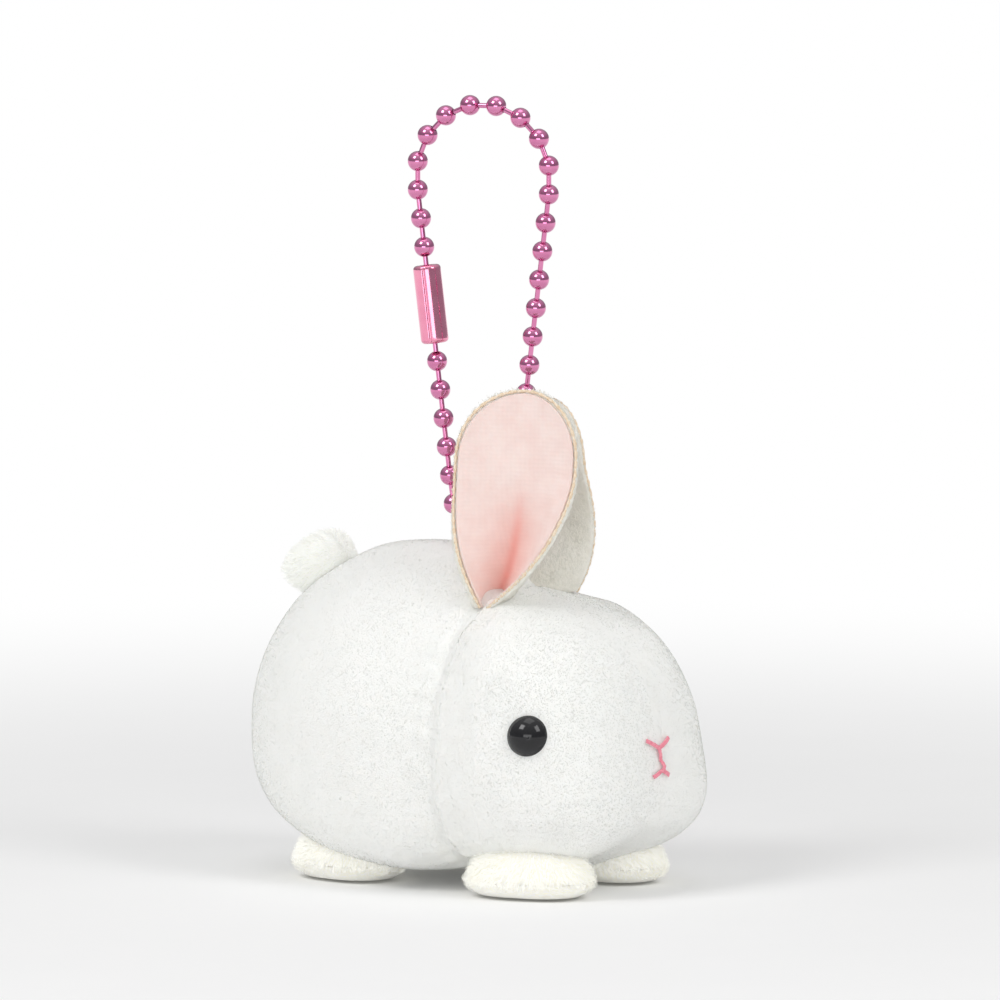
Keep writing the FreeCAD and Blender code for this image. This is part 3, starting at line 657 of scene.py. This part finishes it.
def ear_surface(side, name, offset, inset):
    """Grid of the ear's cloth: a flat petal curled more and more towards its base.

    offset moves the grid off the lining's face, away from the viewer of the lining;
    inset draws its border in. Rows go up, columns from the rear edge to the front.
    """
    tall = EAR_TALL[name]
    share = 1 - (1 - np.linspace(0, 1, EAR_ROWS)) ** 1.35
    across = np.linspace(-1, 1, EAR_COLUMNS)
    top = np.clip((share - TOP_START) / (1 - TOP_START), 0, 1)
    narrowing = np.sqrt(np.maximum(1 - top ** 2.1, 0))
    folding = np.clip(1 - share / FOLD_END, 0, 1)
    rear_width = (REAR_HALF_WIDTH - 1.9 * folding ** 2) * narrowing
    front_width = (FRONT_HALF_WIDTH + 0.9 * folding - 1.3 * folding ** 4) * narrowing
    closed = EAR_CLOSED[name]
    forward = np.array([-side * math.cos(EAR_TURN), -math.sin(EAR_TURN), 0])
    outward = np.array([side * math.sin(EAR_TURN), -math.cos(EAR_TURN), 0])
    base = EAR_TIP * [side, 1, 1]
    sharp = 0.3 + 0.7 * (1 - folding) ** 2       # under 1 the bend gathers at the crease
    points = np.zeros((EAR_ROWS, EAR_COLUMNS, 3))
    sheet_normals = np.zeros_like(points)
    middle = EAR_COLUMNS // 2
    for row in range(EAR_ROWS):
        flat = np.zeros(EAR_COLUMNS)
        deep = np.zeros(EAR_COLUMNS)
        angles = np.zeros(EAR_COLUMNS)
        for half, width, ease in ((-1, rear_width[row], REAR_EASE),
                                  (1, front_width[row], FRONT_EASE)):
            width = max(width - inset, 0.02)
            curl = curl_for(OPEN_CURL - closed * folding[row] ** ease, sharp[row])
            steps = np.abs(across[middle:]) if half > 0 else np.abs(across[middle::-1])
            angle = curl * steps ** sharp[row]
            pieces = np.diff(steps) * width
            heading = (angle[1:] + angle[:-1]) / 2
            where = slice(middle, None) if half > 0 else slice(middle, None, -1)
            flat[where] = half * np.concatenate([[0], np.cumsum(pieces * np.cos(heading))])
            deep[where] = np.concatenate([[0], np.cumsum(pieces * np.sin(heading))])
            angles[where] = half * angle
        height = share[row] * (tall - inset)
        shift = MID_SHIFT[name] * (1 - math.exp(-share[row] / SHIFT_HEIGHT))
        shift = shift / (1 - math.exp(-1 / SHIFT_HEIGHT))
        # The middle line sinks back where the cloth is folded, and bows forward above.
        depth = 0.5 - 3.2 * folding[row] ** 1.5 + 0.5 * math.sin(2.6 * share[row])
        away = -np.sin(angles)[:, None] * forward + np.cos(angles)[:, None] * outward
        line = base + forward * (shift + flat)[:, None] + outward * (deep + depth)[:, None]
        line[:, 2] += height
        points[row] = line - away * offset
        sheet_normals[row] = away
    sweep = EAR_SWEEP[name]
    local = points - base
    along = local @ forward
    turned = along * math.cos(sweep) - local[..., 2] * math.sin(sweep)
    upward = along * math.sin(sweep) + local[..., 2] * math.cos(sweep)
    local = local + forward * (turned - along)[..., None]
    local[..., 2] = upward
    local[..., 1] += local[..., 2] * math.sin(EAR_LEAN)
    wave = EAR_WAVE * swirl(local.reshape(-1, 3) * [1, 1, 0.6], 3.4, side)
    return base + local + sheet_normals * wave.reshape(local.shape[:2])[..., None], folding


def ear_layer(side, name, front, back, inset):
    """Closed thin sheet between two offsets, its rim, and how folded each row is."""
    outer, folding = ear_surface(side, name, front, inset)
    inner, _ = ear_surface(side, name, back, inset)
    rows, columns = outer.shape[:2]
    points = np.concatenate([outer.reshape(-1, 3), inner.reshape(-1, 3)])
    faces = grid_faces(rows, columns, closed=False)
    behind = [tuple(reversed(f)) for f in grid_faces(rows, columns, False, rows * columns)]
    rim = list(range(columns))
    rim += [row * columns + columns - 1 for row in range(1, rows)]
    rim += [(rows - 1) * columns + column for column in range(columns - 2, -1, -1)]
    rim += [row * columns for row in range(rows - 2, 0, -1)]
    away = rows * columns
    edge = [(b, a, a + away, b + away) for a, b in zip(rim, rim[1:] + rim[:1])]
    faces = faces + behind + edge
    if side > 0:
        faces = [tuple(reversed(face)) for face in faces]
    return points, faces, rim, folding


def make_ear(side, name):
    """Lining, back, raw edge and short pile of one ear, bent at its sewn base."""
    points, faces, rim, folding = ear_layer(side, name, *LINING_LAYER)
    lining = mesh_piece(f"ear_{name}_inside", points, faces, LINING)
    columns = np.abs(np.linspace(-1, 1, EAR_COLUMNS))
    # Painted shade: how much deeper pink the lining is painted near the fold at its base, where
    # shade falls.
    crease = 0.5 * np.exp(-(columns[None, :] / 0.4) ** 2)
    crease = crease + 0.5 * np.exp(-(columns[None, :] / 0.09) ** 2)
    crease = crease * smoothstep(folding * 1.9)[:, None]
    painted_fold_shade = lining.data.attributes.new("fold", "FLOAT", "POINT")
    painted_fold_shade.data.foreach_set("value", np.tile(0.95 * crease.ravel(), 2).astype(np.float32))
    back_points, back_faces, _, _ = ear_layer(side, name, *BACK_LAYER)
    back = mesh_piece(f"ear_{name}_outside", back_points, back_faces, EAR_SKIN)
    border_grid, _ = ear_surface(side, name, *RAW_EDGE_LINE)
    border, even = even_path(border_grid.reshape(-1, 3)[rim[EAR_COLUMNS - 1:] + rim[:1]], 0.22)
    ripple = 0.17 * (1 + 0.28 * np.sin(even * 5.1) + 0.18 * np.sin(even * 11.7 + 1))
    edge = mesh_piece(f"ear_{name}_edge", *tube(border, ripple, 8), RAW_EDGE)

    def up(roots, out):
        return np.tile([0.0, 0.35, 1.0], (len(roots), 1))

    behind = back_faces[(EAR_ROWS - 1) * (EAR_COLUMNS - 1):]
    pile = fur(f"ear_{name}_pile", back_points, behind, EAR_PILE, 22.0, length=0.5, width=0.09,
               lift=24, comb=up)
    for piece, slot in ((lining, "ear_lining"), (back, "ear_cloth"), (edge, "ear_cloth"),
                        (pile, "ear_cloth")):
        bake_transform(piece)
    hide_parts(f"ear_lining_{name}")
    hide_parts(f"ear_back_{name}")


make_ear(-1, "right")
make_ear(1, "left")


# ---------------------------------------------------------------- tail

def make_tail():
    """Gathered puff, sewn down at one point, with longer pile."""
    low, high = corners("tail_cover")
    mid_y = (low[1] + high[1]) / 2
    near = torso_points[np.abs(torso_points[:, 0]) < 1.5]
    near = near[near[:, 2] > 20]
    below = near[np.argmin(np.abs(near[:, 1] - mid_y))]
    ahead = near[np.argmin(np.abs(near[:, 1] - mid_y + 4))]
    behind = near[np.argmin(np.abs(near[:, 1] - mid_y - 4))]
    along = unit(behind - ahead)
    along[0] = 0
    along = unit(along)
    out = np.cross([1.0, 0, 0], along)
    out = out if out[2] > 0 else -out
    sunk, forward = 0.5, 0.9
    base = below - out * sunk - along * forward
    rows, columns = 46, 96
    radius, thickness = 4.1, 5.2
    angles = np.linspace(math.radians(-62), math.radians(88.5), rows)[:, None]
    turn = np.linspace(0, 2 * math.pi, columns, endpoint=False)[None, :]
    reach = np.cos(angles) ** 0.85
    gather = 1 + 0.035 * np.sin(13 * turn + 2 * np.sin(3 * turn)) * np.cos(angles - 0.3) ** 4
    gather = gather * (1 + 0.035 * np.sin(3 * turn + 0.6))
    height = thickness * (0.42 + 0.58 * np.sin(angles))
    x = (radius * reach * gather * np.cos(turn))[..., None] * np.array([1.0, 0, 0])
    y = (radius * reach * gather * np.sin(turn))[..., None] * along
    points = base + x + y + height[..., None] * out * np.ones((1, columns, 1))
    pole = base + out * thickness
    points = np.vstack([points.reshape(-1, 3), pole])
    points = points + unit(points - base) * (0.18 * swirl(points, 2.2))[:, None]
    faces = half_faces(rows, columns, True)
    normals = vertex_normals(points, triangles_of(faces))
    if (normals * (points - base)).sum() < 0:
        faces = [tuple(reversed(face)) for face in faces]
    puff = mesh_piece("tail_puff", points, faces, PLUSH_SKIN)

    def outwards(roots, normals):
        return (roots - base) * [1, 1, 0.4] + along * 2.0

    pile = fur("tail_pile", points, faces, TAIL_PLUSH_PAINTED_LIGHT, 18.0, length=0.95, width=0.12, lift=42,
               comb=outwards)
    for piece in (puff, pile):
        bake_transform(piece)
    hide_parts("tail_cover", "tail_stuffing")


make_tail()


# ---------------------------------------------------------------- feet

FOOT_SEAM_GAP = 0.03     # half the gap between upper and sole where they are sewn
FOOT_HEADING = {"front": -18, "rear": 6}     # degrees the left foot is turned by
FOOT_PILE_ROOM = (0.5, 0.3)
REAR_FOOT_SHORTER = 0.5
FRONT_LEFT_MOVED = (-1.4, 1.8)               # sewn on a little askew
UPPER_HEIGHT, SOLE_DEPTH, SOLE_BOTTOM = 4.3, 2.4, 0.35


def make_foot(end, name):
    """Upper and sole of one foot, with the ridge where they are sewn together.

    Returns the upper's cloth.
    """
    low, high = corners(f"{end}_foot_{name}_upper")
    sole_low, _ = corners(f"{end}_foot_{name}_sole")
    side = -1 if name == "right" else 1
    centre_x = side * abs(low[0] + high[0]) / 2
    centre_y = (low[1] + high[1]) / 2
    seam = low[2]
    half_width = (high[0] - low[0]) / 2 - FOOT_PILE_ROOM[0]
    half_length = (high[1] - low[1]) / 2 - FOOT_PILE_ROOM[1]
    if end == "front" and name == "left":
        centre_x += FRONT_LEFT_MOVED[0]
        centre_y += FRONT_LEFT_MOVED[1]
    if end == "rear":
        half_length -= REAR_FOOT_SHORTER
    columns = 150
    turn = np.linspace(0, 2 * math.pi, columns, endpoint=False)[None, :]
    outline_x = half_width * signed_power(np.cos(turn), 0.86)
    outline_y = half_length * signed_power(np.sin(turn), 0.86)
    heading = math.radians(FOOT_HEADING[end] * side)
    cloths = {}
    for layer in ("upper", "sole"):
        rows = 30
        angles = np.linspace(0, math.radians(88), rows)[:, None]
        rim = 1 + 0.035 * np.exp(-(angles / 0.16) ** 2)
        reach = np.cos(angles) ** 0.72 * rim
        if layer == "upper":
            height = seam + FOOT_SEAM_GAP + UPPER_HEIGHT * np.sin(angles) ** 0.9
        else:
            depth = SOLE_DEPTH * np.sin(angles) ** 0.8
            height = np.maximum(seam - FOOT_SEAM_GAP - depth, SOLE_BOTTOM)
        x = reach * outline_x
        y = reach * outline_y
        turned_x = x * math.cos(heading) - y * math.sin(heading)
        turned_y = x * math.sin(heading) + y * math.cos(heading)
        z = np.broadcast_to(height, x.shape)
        points = np.stack([centre_x + turned_x, centre_y + turned_y, z], axis=-1).reshape(-1, 3)
        pole = [centre_x, centre_y, height[-1, 0]]
        points = np.vstack([points, pole])
        lump = 0.14 * swirl(points, 2.0, side)
        off_floor = points[:, 2] > 0.5
        points[:, :2] += unit(points - [centre_x, centre_y, seam])[:, :2] * lump[:, None]
        points[off_floor, 2] += lump[off_floor] * 0.6
        faces = half_faces(rows, columns, layer == "upper")
        skin = mesh_piece(f"{end}_foot_{name}_{layer}_cloth", points, faces, FOOT_SKIN_PAINTED_LIGHT)

        def outwards(roots, normals):
            way = (roots - [centre_x, centre_y, seam]) * [1, 1, 0]
            return unit(way) + [0, 0, -0.45 if layer == "upper" else 0.1]

        def shown(roots):
            return roots[:, 2] > 0.75

        pile = fur(f"{end}_foot_{name}_{layer}_pile", points, faces, FOOT_PLUSH_PAINTED_LIGHT, 15.0,
                   length=0.95, width=0.12, lift=34, comb=outwards, keep=shown)
        for piece in (skin, pile):
            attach(piece, "plush")
        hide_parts(f"{end}_foot_{name}_{layer}")
        cloths[layer] = skin
    return cloths["upper"]


uppers = [make_foot(end, name) for end in ("front", "rear") for name in ("right", "left")]
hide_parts("feet_stuffing")


# ---------------------------------------------------------------- thread loop

def make_thread_loop():
    """Two-ply thread that comes out of the back of the neck and round the lowest pin."""
    low, high = corners("hang_loop")
    centre = (low + high) / 2
    foot = centre * [1, 1, 0]
    thread, ply, ply_offset, ply_pitch = 0.33, 0.17, 0.155, 1.1
    hidden = 2.2
    across = np.array([high[0] - low[0] - 2 * thread, high[1] - low[1] - 2 * thread, 0])
    half = np.linalg.norm(across) / 2
    across = unit(across)
    crown = high[2] - thread - half
    root = low[2] - hidden
    path = [foot - across * half + [0, 0, z] for z in np.linspace(root, crown, 40)]
    for angle in np.linspace(math.pi, 0, 30)[1:-1]:
        path.append(foot + across * half * math.cos(angle)
                    + np.array([0, 0, crown + half * math.sin(angle)]))
    path += [foot + across * half + [0, 0, z] for z in np.linspace(crown, root, 40)]
    path, even = even_path(np.array(path), 0.06)
    along = unit(np.gradient(path, axis=0))
    level = unit(np.cross(along, np.cross(across, [0, 0, 1.0])))
    third = np.cross(along, level)
    plies = []
    for phase in (0, math.pi):
        angle = (even / ply_pitch * 2 * math.pi + phase)[:, None]
        winding = ply_offset * (np.cos(angle) * level + np.sin(angle) * third)
        plies.append(tube(path + winding, ply, 8))
    loop = mesh_piece("hanging_thread", *join_parts(plies), WHITE_THREAD)
    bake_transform(loop)
    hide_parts("hang_loop")


make_thread_loop()


# ---------------------------------------------------------------- connector

def make_sleeve():
    """Rolled connector with rounded ends and the line where its edges meet.

    Its axis, length and radius are those of the CAD sleeve. The profile is pairs of
    distance along the axis and distance from it, and closes on itself.
    """
    solid = NODES["connector_sleeve"]
    cloud = np.array([vertex.co for vertex in solid.data.vertices]) / MM
    middle = cloud.mean(0)
    axis = unit(np.linalg.svd(cloud - middle, full_matrices=False)[2][0])
    axis = axis if axis[2] > 0 else -axis
    heights = (cloud - middle) @ axis
    base = middle + axis * heights.min()
    length = heights.max() - heights.min()
    outer = np.linalg.norm(np.cross(cloud - middle, axis), axis=1).max()
    mouth, rounding, wall = 0.85, 0.5, 0.24
    line_depth, line_width = 0.16, 0.075
    quarter = np.linspace(0, math.pi / 2, 10)
    low_round = [(rounding * (1 - math.sin(a)), outer - rounding * (1 - math.cos(a)))
                 for a in quarter[::-1]]
    profile = [(wall, mouth), (0, mouth)] + low_round
    steps = np.linspace(rounding, length - rounding, 26)[1:-1]
    profile += [(z, outer) for z in steps]
    profile += [(length - z, r) for z, r in reversed(low_round)]
    profile += [(length, mouth), (length - wall, mouth), (length - wall, outer - wall),
                (wall, outer - wall)]
    profile = np.array(profile)
    columns = 120
    turn = np.linspace(0, 2 * math.pi, columns, endpoint=False)
    facing = unit(np.cross(axis, np.cross([-0.93, -0.36, 0.0], axis)))
    third = np.cross(axis, facing)
    line = np.exp(-(((turn + math.pi) % (2 * math.pi) - math.pi) / line_width) ** 2)
    outside = profile[:, 1:2] > outer - 0.05
    radius = profile[:, 1:2] - line_depth * line[None, :] * outside
    points = (base + profile[:, 0][:, None, None] * axis
              + (radius * np.cos(turn))[..., None] * facing
              + (radius * np.sin(turn))[..., None] * third)
    rows = len(profile)
    faces = grid_faces(rows, columns)
    last = (rows - 1) * columns
    faces += [(last + i, last + (i + 1) % columns, (i + 1) % columns, i) for i in range(columns)]
    sleeve = mesh_piece("connector_tube", points.reshape(-1, 3), faces, SLEEVE_METAL)
    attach(sleeve, "connector")
    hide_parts("connector_sleeve")


make_sleeve()


# ---------------------------------------------------------------- CAD pieces shown as they are

def finish_cad():
    """Materials for the CAD pieces that are shown; the longest matching name counts."""
    finishes = {"eye": EYE, "eye_washer": WASHER, "loop_knot": WHITE_THREAD,
                "chain_beads": BEAD_METAL, "chain_pins": BEAD_METAL}
    for name, solid in NODES.items():
        if solid.hide_render:
            continue
        fitting = [key for key in finishes if name.startswith(key)]
        material = finishes[max(fitting, key=len)]
        solid.data.materials.clear()
        solid.data.materials.append(material)


finish_cad()


# ---------------------------------------------------------------- stage, light, camera

def make_stage():
    """Plain white floor that fades into the white behind it."""
    mesh = bpy.data.meshes.new("floor")
    count, radius = 96, 4.0
    rim = [(radius * math.cos(a), radius * math.sin(a), 0)
           for a in np.linspace(0, 2 * math.pi, count, endpoint=False)]
    mesh.from_pydata(rim, [], [tuple(range(count))])
    floor = bpy.data.objects.new("floor", mesh)
    bpy.context.scene.collection.objects.link(floor)
    make = Nodes("floor_white")
    grain = make.ramp(make.noise(60), (0.94, 0.94, 0.94), (0.96, 0.96, 0.96))
    paper = make.add("BsdfDiffuse", {"Color": grain})
    lit = make.add("Emission", {"Color": (1, 1, 1, 1), "Strength": 1.0})
    distance = make.add("VectorMath", {0: make.place()}, operation="LENGTH").outputs["Value"]
    fade = make.add("MapRange", {"Value": distance, "From Min": 0.07, "From Max": 0.30},
                    interpolation_type="SMOOTHSTEP").outputs["Result"]
    mixed = make.add("MixShader", {0: fade, 1: paper.outputs[0], 2: lit.outputs[0]})
    make.add("OutputMaterial", {"Surface": mixed.outputs[0]})
    mesh.materials.append(make.owner)


def make_world():
    """White to the eye and to soft light; what is mirrored is darker, but for straight up."""
    world = bpy.data.worlds.new("studio")
    bpy.context.scene.world = world
    make = Nodes("studio", world)
    up = make.add("SeparateXYZ", {0: make.add("TexCoord").outputs["Generated"]}).outputs["Z"]
    mirrored = make.ramp(up, (0.42, 0.42, 0.44), (0.95, 0.95, 0.96), 0.25, 0.95)
    path = make.add("LightPath")
    soft = make.add("Background", {"Color": (1, 1, 1, 1), "Strength": 0.50})
    gloss = make.add("Background", {"Color": mirrored, "Strength": 0.8})
    seen = make.add("Background", {"Color": (1, 1, 1, 1), "Strength": 1.0})
    first = make.add("MixShader", {0: path.outputs["Is Glossy Ray"], 1: soft.outputs[0],
                                   2: gloss.outputs[0]})
    second = make.add("MixShader", {0: path.outputs["Is Camera Ray"], 1: first.outputs[0],
                                    2: seen.outputs[0]})
    make.add("OutputWorld", {"Surface": second.outputs[0]})


def area_light(name, place, target, size, power):
    data = bpy.data.lights.new(name, "AREA")
    data.shape = "RECTANGLE"
    data.size, data.size_y = size
    data.energy = power
    lamp = bpy.data.objects.new(name, data)
    bpy.context.scene.collection.objects.link(lamp)
    lamp.location = place
    lamp.rotation_mode = "QUATERNION"
    lamp.rotation_quaternion = (Vector(place) - Vector(target)).to_track_quat("Z", "Y")


AZIMUTH, ELEVATION = math.radians(-52), math.radians(6.0)
CAMERA_FAR = 1.5
FIELD = 0.1185           # width of what the camera sees at the object, in metres
SENSOR = 36
AIM_RIGHT, AIM_UP = 3.6 * MM, 44.6 * MM

back = Vector((math.sin(AZIMUTH) * math.cos(ELEVATION),
               -math.cos(AZIMUTH) * math.cos(ELEVATION), math.sin(ELEVATION)))
right = Vector((math.cos(AZIMUTH), math.sin(AZIMUTH), 0))
up_way = back.cross(right)


def place_light(name, sideways, forward, height, size, power):
    """Softbox placed by how far it stands to the camera's right, towards it, and up."""
    level = Vector((back.x, back.y, 0)).normalized()
    place = right * sideways + level * forward + Vector((0, 0, height))
    area_light(name, place, (0, 0, 0.03), size, power)


make_stage()
make_world()
place_light("key", -0.42, 0.34, 0.62, (0.30, 0.30), 1.55)
place_light("fill", 0.46, 0.36, 0.50, (0.26, 0.36), 1.05)
place_light("low", -0.1, 0.7, 0.12, (0.5, 0.16), 0.6)
place_light("top", 0.0, 0.0, 0.9, (0.5, 0.5), 0.85)

camera_data = bpy.data.cameras.new("camera")
camera_data.sensor_width = SENSOR
camera_data.lens = SENSOR * CAMERA_FAR / FIELD
camera_data.clip_start, camera_data.clip_end = 0.05, 20
camera = bpy.data.objects.new("camera", camera_data)
bpy.context.scene.collection.objects.link(camera)
camera.rotation_mode = "QUATERNION"
camera.rotation_quaternion = back.to_track_quat("Z", "Y")
camera.location = right * AIM_RIGHT + up_way * AIM_UP + back * CAMERA_FAR
bpy.context.scene.camera = camera
bpy.context.scene.view_settings.view_transform = "Standard"
